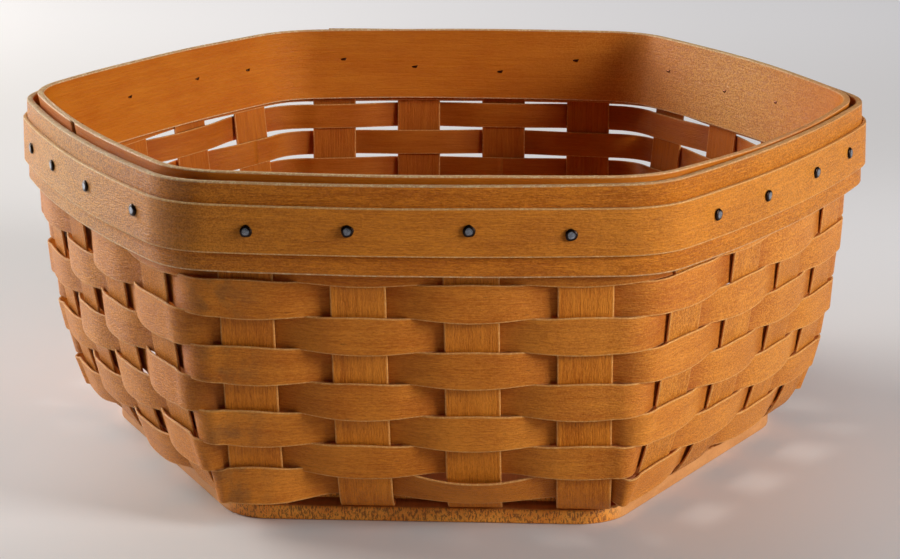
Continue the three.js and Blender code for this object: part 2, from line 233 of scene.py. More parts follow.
# Uprights: twenty-four flat maple splints, four on each side of the basket.
# Their feet sit in the board's groove, and they turn up from it and flare towards the rim.
# The grain runs up them, and their sawn edges stay paler than their faces.
HEIGHT = 133.0
RIM_APOTHEM = 145.3
SIDE_BOW = 7.0
STAKES_PER_SIDE = 4
STAKE_WIDTH = 19.0
STAKE_THICKNESS = 0.9
STAKE_EASE = 0.35
STAKE_TOP_DROP = 4.5
STAKE_CORNER_GAP = 0.8
STAKE_WOBBLE, STAKE_WOBBLE_REPEAT = 0.12, 300.0
FOOT_LENGTHS = (-7.7, -4.0)  # along the foot, where it is in the groove
FOOT_BEND = 30.0
FOOT_LEAN, FOOT_SWEEP = math.radians(80), 15.0
RIM_LEAN, RIM_SWEEP = math.radians(3.2), 78.0
EDGE_FADE = 0.35
# Uprights on these sides take the rough mark outside: a fine grit of grain and a paler tan that is painted
# sheen.
ROUGH_AND_SHEEN_SIDES = (1, SIDES - 1)
ROUGH_AND_SHEEN_SHARE = 0.4

foot = np.array([BOARD_APOTHEM, LIP_THICKNESS + GROOVE_HEIGHT / 2])
foot_pull = foot + FOOT_SWEEP * np.array([math.sin(FOOT_LEAN), math.cos(FOOT_LEAN)])
rim = np.array([RIM_APOTHEM, HEIGHT])
rim_pull = rim - RIM_SWEEP * np.array([math.sin(RIM_LEAN), math.cos(RIM_LEAN)])
wall_share = np.linspace(0, 1, 1500)[:, None]
wall_curve = (
    (1 - wall_share) ** 3 * foot
    + 3 * wall_share * (1 - wall_share) ** 2 * foot_pull
    + 3 * wall_share ** 2 * (1 - wall_share) * rim_pull
    + wall_share ** 3 * rim
)
wall_run = np.r_[0, np.cumsum(np.hypot(*np.diff(wall_curve, axis=0).T))]
wall_tangent = np.gradient(wall_curve, axis=0)
wall_tangent /= np.linalg.norm(wall_tangent, axis=1)[:, None]
wall_length = wall_run[-1]
around = SIDES * STAKES_PER_SIDE
side_centre = (STAKES_PER_SIDE - 1) / 2
stake_pitch = (2 * BOARD_APOTHEM * MITRE - STAKE_WIDTH) / (STAKES_PER_SIDE - 1)
stake_reach = side_centre * stake_pitch + STAKE_WIDTH / 2
stake_edge = STAKE_WIDTH / 2 / stake_pitch


def unit(v):
    return v / np.linalg.norm(v, axis=-1, keepdims=True)


def section_at(length):
    """The wall in section at lengths along it from the board's edge: its middle, and its way up."""
    middle = np.stack([np.interp(length, wall_run, wall_curve[:, k]) for k in (0, 1)], -1)
    rise = unit(np.stack([np.interp(length, wall_run, wall_tangent[:, k]) for k in (0, 1)], -1))
    inside = (length < 0)[:, None]
    middle = np.where(inside, np.stack([foot[0] + length, np.full(len(length), foot[1])], -1), middle)
    return middle, np.where(inside, [1.0, 0.0], rise)


def side_plan(apothem, along):
    """One side of the wall from above: along it, out from the axis, and its way out."""
    half = apothem * MITRE
    x = np.clip(along, STAKE_CORNER_GAP - half, half - STAKE_CORNER_GAP)
    bow = SIDE_BOW * np.clip((apothem - foot[0]) / (rim[0] - foot[0]), 0, 1)
    slope = -2 * bow * x / half ** 2
    place = np.stack([x, apothem - bow * (x / half) ** 2], -1)
    return place, unit(np.stack([-slope, np.ones_like(x)], -1))


def corner_plan(apothem, turn):
    """The rounded corner after a side, from the edge of its last upright to the next one."""
    start, out = side_plan(apothem, np.full(len(apothem), stake_reach))
    way = np.stack([out[:, 1], -out[:, 0]], -1)
    run = (start[:, 1] * MITRE - start[:, 0]) / (way[:, 0] - way[:, 1] * MITRE)
    apex = start + way * run[:, None]
    mitre = unit(np.array([MITRE, 1.0]))
    end = 2 * (start @ mitre)[:, None] * mitre - start
    t = turn[:, None]
    tangent = unit((1 - t) * (apex - start) + t * (end - apex))
    return (
        (1 - t) ** 2 * start + 2 * t * (1 - t) * apex + t * t * end,
        np.stack([-tangent[:, 1], tangent[:, 0]], -1),
    )


def wall_at(side, along, turn, length):
    """Points of the wall and their ways: out level, along the side, up the wall, square to the wall.
    A place on a corner has a turn from 0 to 1, and a place on a side has none."""
    middle, rise = section_at(length)
    on_corner = ~np.isnan(turn)[:, None]
    flat, flat_out = side_plan(middle[:, 0], along)
    curved, curved_out = corner_plan(middle[:, 0], np.nan_to_num(turn))
    plan = np.where(on_corner, curved, flat)
    plan_out = np.where(on_corner, curved_out, flat_out)
    angle = side * SIDE_TURN

    def level(v):
        return np.stack([
            v[:, 0] * np.cos(angle) + v[:, 1] * np.sin(angle),
            v[:, 0] * np.sin(angle) - v[:, 1] * np.cos(angle),
            np.zeros(len(v)),
        ], -1)

    up = np.array([0, 0, 1.0])
    out = level(plan_out)
    point = level(plan) + up * middle[:, 1:]
    across = level(np.stack([plan_out[:, 1], -plan_out[:, 0]], -1))
    return (
        point, out, across,
        out * rise[:, :1] + up * rise[:, 1:],
        out * rise[:, 1:] - up * rise[:, :1],
    )


def wobble(chance, place, length, size):
    """A smooth hand-made unevenness along a place, which repeats after the given length."""
    total = np.zeros(len(place))
    for turns in (1, 2, 3, 5, 8, 13, 21):
        swell = chance.normal()
        start = chance.random()
        total += swell * np.sin(2 * math.pi * (turns * place / length + start)) / turns ** 0.7
    return total * size / 1.6


def splint(line, across, out, low, high, inner, outer, ease, columns=7):
    """A flat bar with eased edges along a line. Low and high are its edges along the way across,
    and inner and outer its faces along the way out. Gives points, faces, grain and edge marks."""
    stations = len(line)
    low, high, inner, outer = (
        np.broadcast_to(v, (stations,)).astype(float) for v in (low, high, inner, outer)
    )
    radius = np.minimum(ease, 0.45 * (outer - inner))
    turns = np.radians([0, 45, 90])
    fade = EDGE_FADE / np.mean(high - low)
    shares = np.r_[fade, np.linspace(0, 1, columns)[1:-1], 1 - fade]

    def eased_edge(edge, edge_way, face, face_way, angles):
        return [
            (edge + edge_way * radius * (1 - np.cos(a)), face + face_way * radius * (1 - np.sin(a)), 1.0)
            for a in angles
        ]

    def flat_face(face, places):
        return [(low + radius + (high - low - 2 * radius) * share, face, 0.0) for share in places]

    section = (
        eased_edge(low, 1, outer, -1, turns)
        + flat_face(outer, shares)
        + eased_edge(high, -1, outer, -1, turns[::-1])
        + eased_edge(high, -1, inner, 1, turns)
        + flat_face(inner, shares[::-1])
        + eased_edge(low, 1, inner, 1, turns[::-1])
    )
    count = len(section)
    points = np.stack([line + across * w[:, None] + out * t[:, None] for w, t, _ in section], 1)
    edge = np.tile([mark for _, _, mark in section], stations)
    girth = np.array([[w.mean(), t.mean()] for w, t, _ in section])
    girth = np.r_[0, np.cumsum(np.hypot(*np.diff(np.r_[girth, girth[:1]], axis=0).T))]
    run = np.r_[0, np.cumsum(np.linalg.norm(np.diff(line, axis=0), axis=1))]
    faces, grain = [], []
    for i in range(stations - 1):
        for k in range(count):
            n = (k + 1) % count
            faces.append((i * count + k, i * count + n, (i + 1) * count + n, (i + 1) * count + k))
            grain += [(run[i], girth[k]), (run[i], girth[k + 1])]
            grain += [(run[i + 1], girth[k + 1]), (run[i + 1], girth[k])]
    for i, turn in ((0, -1), (stations - 1, 1)):
        faces.append(tuple(i * count + k for k in range(count))[::turn])
        grain += [(run[i] + k * 0.1, girth[k]) for k in range(count)][::turn]
    points = points.reshape(-1, 3)
    corners = points[np.array(faces[:-2])]
    swept = np.cross(corners[:, 1] - corners[:, 0], corners[:, 2] - corners[:, 0])
    swept += np.cross(corners[:, 2] - corners[:, 0], corners[:, 3] - corners[:, 0])
    if np.sum(swept * (corners[:, 0] - points.mean(0))) < 0:
        starts = np.cumsum([0] + [len(face) for face in faces])
        grain = [g for a, b in zip(starts, starts[1:]) for g in grain[a:b][::-1]]
        faces = [face[::-1] for face in faces]
    return points, faces, np.array(grain), edge


def splint_wood(name, dark, light, pale, lines, speckle):
    """Oiled maple splint: long fibre lines and short specks along the grain map, sparse dark flecks,
    grey smears where it is bent hard, and pale torn edges. Some of it is painted light: a deeper red
    on the inside faces is painted shade; where the rough mark is, a fine grit of grain goes with a
    paler tan that is painted sheen; a brighter pale on the rim bands' edges is partly painted
    highlight; and the tuck shade mark paints shade where a weaver runs behind an upright."""
    finish, wire, join = new_finish(name, Specular_IOR_Level=0.165)
    grain = wire.node("UVMap", {"uv_map": "grain"})
    run, girth = grain.axis("X"), grain.axis("Y")
    tone, edge, inside, tuck_shade, bend, rough = (
        wire.mark(mark) for mark in ("tone", "edge", "inside", "tuck_shade", "bend", "rough")
    )
    seed = tone * 37
    fibre = wire.noise(run * 0.06, girth * 1.7, seed, 5, 0.8)
    figure = wire.noise(run * 0.02, girth * 0.3, seed + 5, 2)
    cloud = wire.noise(run * 0.04, girth * 0.06, seed, 2)
    speck = wire.noise(run * 0.5, girth * 1.9, seed + 3, 3, 0.75).between(0.34, 0.66)
    grit = wire.noise(run * 1.7, girth * 1.7, seed + 17, 1).between(0.36, 0.64)
    fleck = wire.noise(run * 0.35, girth * 1.7, seed + 2, 1).between(0.7, 0.8)
    torn = wire.noise(run * 1.1, girth * 0.8, seed + 13, 2).between(0.5, 0.62)
    smear = wire.noise(run * 0.12, girth * 0.14, seed + 9, 4).between(0.42, 0.66)
    open_air = 1 - inside * 0.6
    line = fibre.between(0.34, 0.66)
    shade = (
        (line - 0.5) * lines + (speck - 0.5) * open_air * speckle + (grit - 0.5) * rough * 1.3
        + (figure - 0.5) * 0.6 + (cloud - 0.5) * 0.9 + tone * 0.16 + 0.5
    )
    wood = shade.between(-0.25, 1.25).mixed(dark, light)
    wood = (fleck * (1 - inside) * 0.35).mixed(wood, paint(92, 40, 12))
    wood = (bend * smear * 0.42).mixed(wood, paint(108, 76, 56))
    # Painted shade: the inside faces are mixed towards a deeper red for the shade inside the basket.
    wood = (inside * 0.4).mixed(wood, paint(172, 78, 8))
    # Partly grain and partly painted sheen: where the rough mark is, a fine grit goes with a paler,
    # yellower tan that stands for the sheen of the grazing lights.
    grit_and_sheen = (grit * 0.6 + fibre * 0.4).mixed(paint(164, 104, 32), paint(252, 206, 114))
    wood = (rough * 0.5).mixed(wood, grit_and_sheen)
    # Pale edges: the torn wood's own paler colour, and partly painted highlight on the rim bands and trim,
    # whose pale is brighter.
    wood = (edge * (torn * 0.4 + 0.5)).mixed(wood, pale)
    # Painted shade: a weaver darkens where it runs behind an upright.
    wood = (tuck_shade * 0.32).mixed(wood, paint(150, 60, 12))
    join(
        Base_Color=wood,
        Roughness=line * 0.08 + speck * 0.1 + 0.3,
        Normal=(line * lines * 0.5 + speck * open_air * speckle).bump(0.9, 0.0004),
    )
    return finish


stake_wood = splint_wood(
    "stake_wood", dark=paint(184, 92, 12), light=paint(238, 146, 46), pale=paint(244, 190, 118),
    lines=0.55, speckle=0.4,
)
stake_lengths = np.r_[
    FOOT_LENGTHS,
    np.linspace(0, FOOT_BEND, 15),
    np.linspace(FOOT_BEND, wall_length - STAKE_TOP_DROP, 34)[1:],
]
for stake in range(around):
    chance = np.random.default_rng(400 + stake)
    side, number = divmod(stake, STAKES_PER_SIDE)
    middle = (number - side_centre) * stake_pitch
    count = len(stake_lengths)
    point, out, across, rise, normal = wall_at(
        np.full(count, side), np.full(count, middle), np.full(count, np.nan), stake_lengths
    )
    reach = section_at(stake_lengths)[0][:, 0] * MITRE - STAKE_CORNER_GAP
    edges = []
    for end in (-1, 1):
        uneven = wobble(chance, stake_lengths, STAKE_WOBBLE_REPEAT, STAKE_WOBBLE)
        edges.append(np.clip(middle + end * STAKE_WIDTH / 2 + uneven, -reach, reach) - middle)
    points, faces, grain, edge = splint(
        point, across, normal, edges[0], edges[1], -STAKE_THICKNESS / 2, STAKE_THICKNESS / 2, STAKE_EASE
    )
    columns = len(points) // count
    inside = np.tile(np.arange(columns) >= columns / 2, count)
    add_piece(
        f"upright_{stake + 1:02d}", points, faces, stake_wood, f"stake_{stake + 1:02d}",
        grain,
        {"edge": edge * 0.7, "inside": inside, "tone": np.full(len(points), chance.uniform(-1, 1)),
         "rough": (side in ROUGH_AND_SHEEN_SIDES) * ~inside * ROUGH_AND_SHEEN_SHARE},
    )

# Weavers: eight narrow maple splints, each once round the basket over one upright and under the next.
# Every row starts a step on from the one below it, and its thinned ends lap on a back side.
# At the front each row overlaps the one below like a shingle, and at the back the rows leave slots.
WEAVER_ROWS = 8
WEAVER_THICKNESS = 0.8
WEAVER_EASE = 0.2
WEAVER_LAP = 2.0
FRONT_PINCH = -0.3
BACK_PINCH = 1.35
FRONT_SPREAD = 0.7
FIRST_ROW_LIFT = 10.0
TOP_ROW_TUCK = 8.0
TOP_ROW_GAP = 0.4
BACK_RISE = 5.0
WEAVER_SWING = 1.65
RIGHT_SWING_LOSS = 0.5
TOP_ROW_SWING = 1.1
CORNER_SWELL = 2.1
RIGHT_SWELL_LOSS = 0.4
RIM_HOLD = 0.6
ROW_WOBBLE = 0.16
UPRIGHT_BY = (6, 3, 3, 7, 4, 3, 4, 0)  # degrees that each row stands more upright than the wall
UPRIGHT_WOBBLE = 1.2
OUTER_BAND_DROP = 2.8
OUTER_BAND_WIDTH = 31.0
SCARF_TIP = 0.25
LAP_GAP = 0.06
# The left and right faces take the rough mark: a fine grit of grain and a paler tan that is painted sheen.
# places round the basket: a count of uprights, a reach to either side of it, and for some a size
LEFT_FACE = (21.2, 2.2)
RIGHT_FACE = (6, 2.6)
BENT_CORNER = (23.8, 0.3)
LEFT_OVERLAP = (22.4, 1.7, 1.1)
LOWEST_ROW_SAGS = ((3.5, 0.5, 1.8), (23.45, 0.35, 1.5), (0, 0.5, -2.0))
LOWEST_ROW_LEANS = ((0, 0.6, 15), (2, 0.6, -14))
LOWEST_ROW_NARROWS = (2, 0.6, 2.6)

outer_top = wall_length - OUTER_BAND_DROP
outer_bottom = outer_top - OUTER_BAND_WIDTH
row_pitch = (outer_bottom + TOP_ROW_TUCK - FIRST_ROW_LIFT) / WEAVER_ROWS


def places_round(steps, corner_steps):
    """Places once round: side, along it, turn on a corner, and a count of uprights passed."""
    along = np.linspace(-stake_reach, stake_reach, steps + 1)
    turn = np.linspace(0, 1, corner_steps + 2)[1:-1]
    on_side = (along + side_centre * stake_pitch) / stake_pitch
    on_corner = STAKES_PER_SIDE - 1 + stake_edge + turn * (1 - 2 * stake_edge)
    nothing = np.full(len(along), np.nan)
    rounds = []
    for side in range(SIDES):
        before = side * STAKES_PER_SIDE
        rounds.append(np.c_[np.full(len(along), side), along, nothing, on_side + before])
        rounds.append(np.c_[np.full(len(turn), side), np.zeros(len(turn)), turn, on_corner + before])
    return np.concatenate(rounds).T


def lapped(places, first, lap):
    """The places from the first count of uprights once round and on over the lap. Gives also how far
    each is from the start of the lap, and past its end, from 0 to 1."""
    size = places.shape[1]
    start = int(np.argmin(np.abs(places[3] - first)))
    order = (start + np.arange(2 * size)) % size
    passed = places[3][order] + around * ((start + np.arange(2 * size)) // size) - places[3][start]
    keep = passed <= around + lap + 1e-6
    passed = passed[keep]
    return places[:, order[keep]], np.clip(passed / lap, 0, 1), np.clip((passed - around) / lap, 0, 1)


def scarf(begun, past, thickness):
    """Inner and outer faces of a splint whose thinned ends lap in one thickness."""
    def cut(share):
        return (thickness - LAP_GAP) * (SCARF_TIP + share * (1 - 2 * SCARF_TIP)) - thickness / 2

    inner = np.where(past > 0, cut(past) + LAP_GAP, -thickness / 2)
    outer = np.where(begun < 1, cut(begun), thickness / 2)
    return inner, outer


def near(passed, place, reach, size=1):
    """A size at a place round the basket, and down to nothing within a reach to either side."""
    away = (passed - place + around / 2) % around - around / 2
    return size * np.exp(-((away / reach) ** 2))


def corner_bend(turn):
    """0 on a side, and up to 1 in the middle of a corner."""
    return np.where(np.isnan(turn), 0, np.sin(math.pi * np.nan_to_num(turn)))


weaver_wood = splint_wood(
    "weaver_wood", dark=paint(188, 94, 14), light=paint(240, 150, 50), pale=paint(244, 190, 118),
    lines=0.35, speckle=0.38,
)
weave_places = places_round(42, 9)
chance = np.random.default_rng(77)
climbed = 0.5 - 0.5 * np.cos(2 * math.pi * (weave_places[3] - side_centre) / around)
row_lines = [
    FIRST_ROW_LIFT + row_pitch * row + BACK_RISE * climbed
    + wobble(chance, weave_places[3], around, ROW_WOBBLE)
    for row in range(WEAVER_ROWS + 1)
]
for row in range(WEAVER_ROWS):
    top_row = row == WEAVER_ROWS - 1
    lap_side = SIDES // 2 - 1 + row % 3
    first = lap_side * STAKES_PER_SIDE + (row + 1) % 2
    places = np.r_[weave_places, [row_lines[row], row_lines[row + 1], climbed]]
    (side, along, turn, passed, low_line, high_line, back), begun, past = lapped(places, first, WEAVER_LAP)
    over = np.cos(math.pi * passed) ** 2
    far = np.clip(2 * back - 0.5, 0, 1)
    spread = over * FRONT_SPREAD * (1 - far)
    pinch = FRONT_PINCH + (BACK_PINCH - FRONT_PINCH) * far - near(passed, *LEFT_OVERLAP)
    low = low_line + pinch / 2 - spread
    high = high_line - pinch / 2 + spread
    upright = UPRIGHT_BY[row] + wobble(chance, passed, around, UPRIGHT_WOBBLE) * (not top_row)
    if row == 0:
        sag = sum(near(passed, *place) for place in LOWEST_ROW_SAGS)
        low, high = low - sag, high - sag - near(passed, *LOWEST_ROW_NARROWS)
        upright = upright + sum(near(passed, *place) for place in LOWEST_ROW_LEANS)
    upright = np.radians(upright)[:, None]
    length = (low + high) / 2
    half = (high - low) / 2
    point, out, across, rise, normal = wall_at(side, along, turn, length)
    middle, lean = section_at(length)
    crown = np.zeros(len(length))
    for end in (low, high):
        away = section_at(end)[0] - middle
        crown = np.maximum(crown, away[:, 1] * lean[:, 0] - away[:, 0] * lean[:, 1])
    wave = np.cos(math.pi * (passed + row))
    wave = wave * (1.5 - 0.5 * wave ** 2)
    stand = half * np.abs(np.sin(upright[:, 0]))
    to_right = np.sin(2 * math.pi * (passed - side_centre) / around)
    swing = TOP_ROW_SWING if top_row else WEAVER_SWING - RIGHT_SWING_LOSS * to_right
    offset = wave * np.where(wave > 0, swing + np.maximum(stand - crown, 0), swing + stand + crown)
    if not top_row:
        held = 1 - RIM_HOLD * (row / (WEAVER_ROWS - 1)) ** 2
        offset = offset + CORNER_SWELL * (1 - RIGHT_SWELL_LOSS * to_right) * held * corner_bend(turn)
    inner, outer = scarf(begun, past, WEAVER_THICKNESS)
    points, faces, grain, edge = splint(
        point + normal * offset[:, None],
        rise * np.cos(upright) - normal * np.sin(upright),
        normal * np.cos(upright) + rise * np.sin(upright),
        -half, half, inner, outer, WEAVER_EASE,
    )
    columns = len(points) // len(wave)
    # Painted shade at the tucks: the outside darkens where the weaver runs behind an upright, and the
    # inside where it runs in front of one.
    behind = np.repeat(np.clip(-wave * 1.2 + 0.2, 0, 1), columns)
    before = np.repeat(np.clip(wave * 1.2 + 0.2, 0, 1), columns)
    outside = np.tile(np.arange(columns) < columns / 2, len(wave))
    # Rough mark on the left and right faces: a fine grit, and a paler tan that is painted sheen.
    rough = np.repeat(near(passed, *LEFT_FACE) + near(passed, *RIGHT_FACE), columns)
    add_piece(
        f"weaver_row_{row + 1}", points, faces, weaver_wood, f"weaver_{row + 1}", grain,
        {"edge": edge, "inside": ~outside, "tone": np.full(len(points), chance.uniform(-1, 1)),
         "tuck_shade": np.where(outside, behind, before),
         "bend": np.repeat(near(passed, *BENT_CORNER), columns) * outside,
         "rough": rough * outside * ROUGH_AND_SHEEN_SHARE},
    )

# Rim bands: two wide splints bent round the top of the uprights, one inside them and one outside.
# Their thinned ends lap, the outer one on the back, where it climbs a little at its end.
# They lie against the uprights at the top and open downwards over the highest weaver.
INNER_BAND_WIDTH = 30.8
INNER_BAND_DROP = 0.3
BAND_THICKNESS = 2.4
BAND_EASE = 0.3
BAND_PLAY = 0.3
BAND_WOBBLE = 0.28
BAND_COLUMNS = 10
BAND_SEAT = 0.6
BAND_OPENING = 1.85
CORNER_OPENING = 0.35
CORNER_SMEAR = 0.2
OUTER_LAP_RISE = 2.2
# places round the rim, like those of the weavers; the rough place inside also takes a paler tan that is
# painted sheen
INNER_DIP = (6, 2.3, 2.3)
ROUGH_AND_SHEEN_INSIDE = (9.7, 1.7)
DULL_EDGES = (6.5, 3.2, 0.6)

weavers_top = outer_bottom + TOP_ROW_TUCK - TOP_ROW_GAP + BACK_RISE
band_places = places_round(36, 15)


def band_gap(length):
    """From the middle of the uprights out to the band's near face, or in to it."""
    return BAND_SEAT + BAND_OPENING * (wall_length - length) / (wall_length - weavers_top)


def add_band(
    name, node, finish, bottom, top, reach, thickness, lap_side, lap, climb, ease, inside, seed
):
    """A band once round the rim; reach gives its middle's distance out from the uprights.
    The inner one dips on the right, down to the top of the outer one, and edges are duller there."""
    chance = np.random.default_rng(seed)
    lines = [wobble(chance, band_places[3], around, BAND_WOBBLE) for _ in range(2)]
    (side, along, turn, passed, low_line, high_line), begun, past = lapped(
        np.r_[band_places, lines], lap_side * STAKES_PER_SIDE - stake_edge, lap
    )
    low = bottom + low_line
    high = np.minimum(top + high_line, top + BAND_PLAY) - inside * near(passed, *INNER_DIP)
    bend = corner_bend(turn)
    ends = []
    for length in (low, high):
        point, out, across, rise, normal = wall_at(side, along, turn, np.minimum(length, wall_length))
        away = reach(length) + CORNER_OPENING * bend * np.sign(reach(length))
        ends.append(point + out * away[:, None] + rise * (climb * past)[:, None])
    up = unit(ends[1] - ends[0])
    half = np.linalg.norm(ends[1] - ends[0], axis=1) / 2
    inner, outer = scarf(begun, past, thickness)
    points, faces, grain, edge = splint(
        (ends[0] + ends[1]) / 2, up, out, -half, half, inner, outer, ease, BAND_COLUMNS
    )
    # Rough mark: a fine grit, and a paler tan that is painted sheen.
    if inside:
        rough = near(passed, *ROUGH_AND_SHEEN_INSIDE)
    else:
        rough = near(passed, *LEFT_FACE) + near(passed, *RIGHT_FACE, ROUGH_AND_SHEEN_SHARE)
    pale = 1 - near(passed, *DULL_EDGES)
    bend, rough, pale = (np.repeat(v, len(points) // len(turn)) for v in (bend, rough, pale))
    add_piece(
        name, points, faces, finish, node, grain,
        {"edge": edge * pale, "inside": np.full(len(points), inside),
         "bend": bend * CORNER_SMEAR * (1 - inside),
         "tone": np.full(len(points), chance.uniform(-0.5, 0.5)), "rough": rough},
    )


# Partly painted highlight: the bands' pale edge colour is paler than the uprights' and weavers', to light
# their top edges.
band_wood = splint_wood(
    "band_wood", dark=paint(184, 92, 8), light=paint(238, 142, 34), pale=paint(255, 230, 180),
    lines=0.5, speckle=0.6,
)
# The inner band is inside all round, so it carries the painted inside shade. Its colours are brighter than
# the outer band's to make up for that.
inner_wood = splint_wood(
    "inner_wood", dark=paint(216, 110, 14), light=paint(255, 160, 44), pale=paint(255, 230, 180),
    lines=0.4, speckle=0.5,
)
add_band(
    "rim_inside", "inner_band", inner_wood,
    bottom=wall_length - INNER_BAND_WIDTH, top=wall_length - INNER_BAND_DROP,
    reach=lambda length: -band_gap(length) - BAND_THICKNESS / 2, thickness=BAND_THICKNESS,
    lap_side=SIDES - 1, lap=1.55, climb=0.0, ease=BAND_EASE, inside=1.0, seed=11,
)
add_band(
    "rim_outside", "outer_band", band_wood,
    bottom=outer_bottom, top=outer_top,
    reach=lambda length: band_gap(length) + BAND_THICKNESS / 2, thickness=BAND_THICKNESS,
    lap_side=SIDES // 2, lap=3.4, climb=OUTER_LAP_RISE, ease=BAND_EASE, inside=0.0, seed=12,
)

# Trim strip: a narrower, thinner splint laid over the middle of the outer band.
# The tacks hold it, and its thinned ends lap on a back side.
TRIM_WIDTH = 16.4
TRIM_THICKNESS = 1.4
TRIM_EASE = 0.2
TRIM_GAP = 0.15
trim_middle = (outer_top + outer_bottom) / 2


def trim_seat(length):
    """From the middle of the uprights out to the trim strip's near face."""
    return band_gap(length) + BAND_THICKNESS + TRIM_GAP


# Partly painted highlight: the trim's pale edge colour is paler than the uprights' and weavers', to light
# its top edge.
trim_wood = splint_wood(
    "trim_wood", dark=paint(182, 94, 12), light=paint(236, 144, 40), pale=paint(255, 222, 160),
    lines=0.4, speckle=0.45,
)
add_band(
    "rim_trim", "trim_strip", trim_wood,
    bottom=trim_middle - TRIM_WIDTH / 2, top=trim_middle + TRIM_WIDTH / 2,
    reach=lambda length: trim_seat(length) + TRIM_THICKNESS / 2, thickness=TRIM_THICKNESS,
    lap_side=SIDES // 2 - 1, lap=3.5, climb=0.0, ease=TRIM_EASE, inside=0.0, seed=13,
)

# Rim tacks: one blued steel tack through the whole rim at each upright, set by eye.
# The domed head sits on the trim strip, and the point is turned over inside.
TACK_HEAD_RADIUS = 2.0
TACK_HEAD_HEIGHT = 0.9
TACK_HEAD_GAP = 0.12
TACK_SHANK = 1.4
SHANK_CORNER = 1.3
TACK_CLINCH = 3.2
HEAD_STEPS = 20
# the head from its rim to its crown: share of the radius, share of the height, and how much it takes the
# grey crown colour, which is partly wear and partly painted reflection
HEAD_PROFILE = (
    (1.0, 0.0, 0), (1.06, 0.2, 0), (1.04, 0.5, 0), (0.92, 0.78, 0),
    (0.68, 0.92, 0), (0.54, 0.96, 1), (0.1, 1.0, 1),
)
# how far each tack of a side is along from the middle of its upright, and up from the trim's middle
TACK_NUDGES = (
    (2.5, -2, -0.5, -5.5), (4, -1, 0, -4.5), (0.5, -6, -6, -3),
    (4, 0, 0.5, -5.5), (1.5, -4.5, 1.5, -2), (4, -0.5, 0.5, 3.5),
)
TACK_LIFTS = (
    (-0.5, 0.5, 1, -0.5), (0, 0, 0.5, 1), (1, 4.5, 2.5, 4.5),
    (5, -0.5, 1.5, 5), (4, 5, 4.5, -1), (0, 0.5, 1, 1),
)

tack_steel, wire, join = new_finish("tack_steel", Metallic=0.9)
spot = wire.node("TexCoord", out="Object")
across, back, up = (spot.axis(name) * 1000 for name in "XYZ")
worn_and_reflection, rust = wire.mark("worn_and_reflection"), wire.mark("rust")
patina = wire.noise(across * 0.9, back * 0.9, up * 0.9, 3)
scratch = wire.noise(across * 3.0, back * 3.0, up * 5.0, 2)
